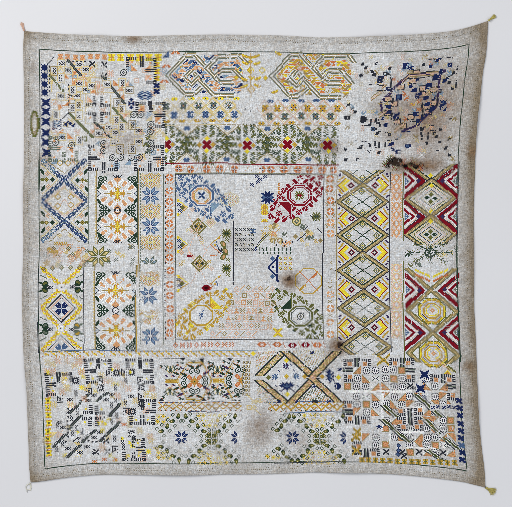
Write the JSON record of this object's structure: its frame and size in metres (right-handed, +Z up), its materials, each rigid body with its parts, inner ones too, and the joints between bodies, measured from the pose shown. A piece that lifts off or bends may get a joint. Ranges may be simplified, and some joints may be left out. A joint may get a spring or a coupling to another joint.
{
  "type": "embroidery sampler",
  "caption": "Square hemmed linen sampler lying flat, covered in counted geometric silk embroidery, with small corner tassels.",
  "frame": {"origin": "middle of the whole outline, tassels included, on the surface that the sampler lies on", "axes": "+Z up out of the embroidered face, +Y to the head of the work, +X to its right"},
  "size_m": [0.5977, 0.6039, 0.0034],
  "materials": {
    "linen": "aged plain-weave linen, matt, stained",
    "rose_silk": "faded floss, soft sheen",
    "gold_silk": "faded floss, soft sheen",
    "white_thread": "twisted thread, matt",
    "embroidery_silk": "many-coloured floss, soft sheen"
  },
  "bodies": {
    "root": {"linen_ground": "linen", "tassel_nw": "rose_silk", "tassel_ne": "gold_silk", "tassel_se": "gold_silk", "loop_sw": "white_thread"}
  },
  "joints": []
}
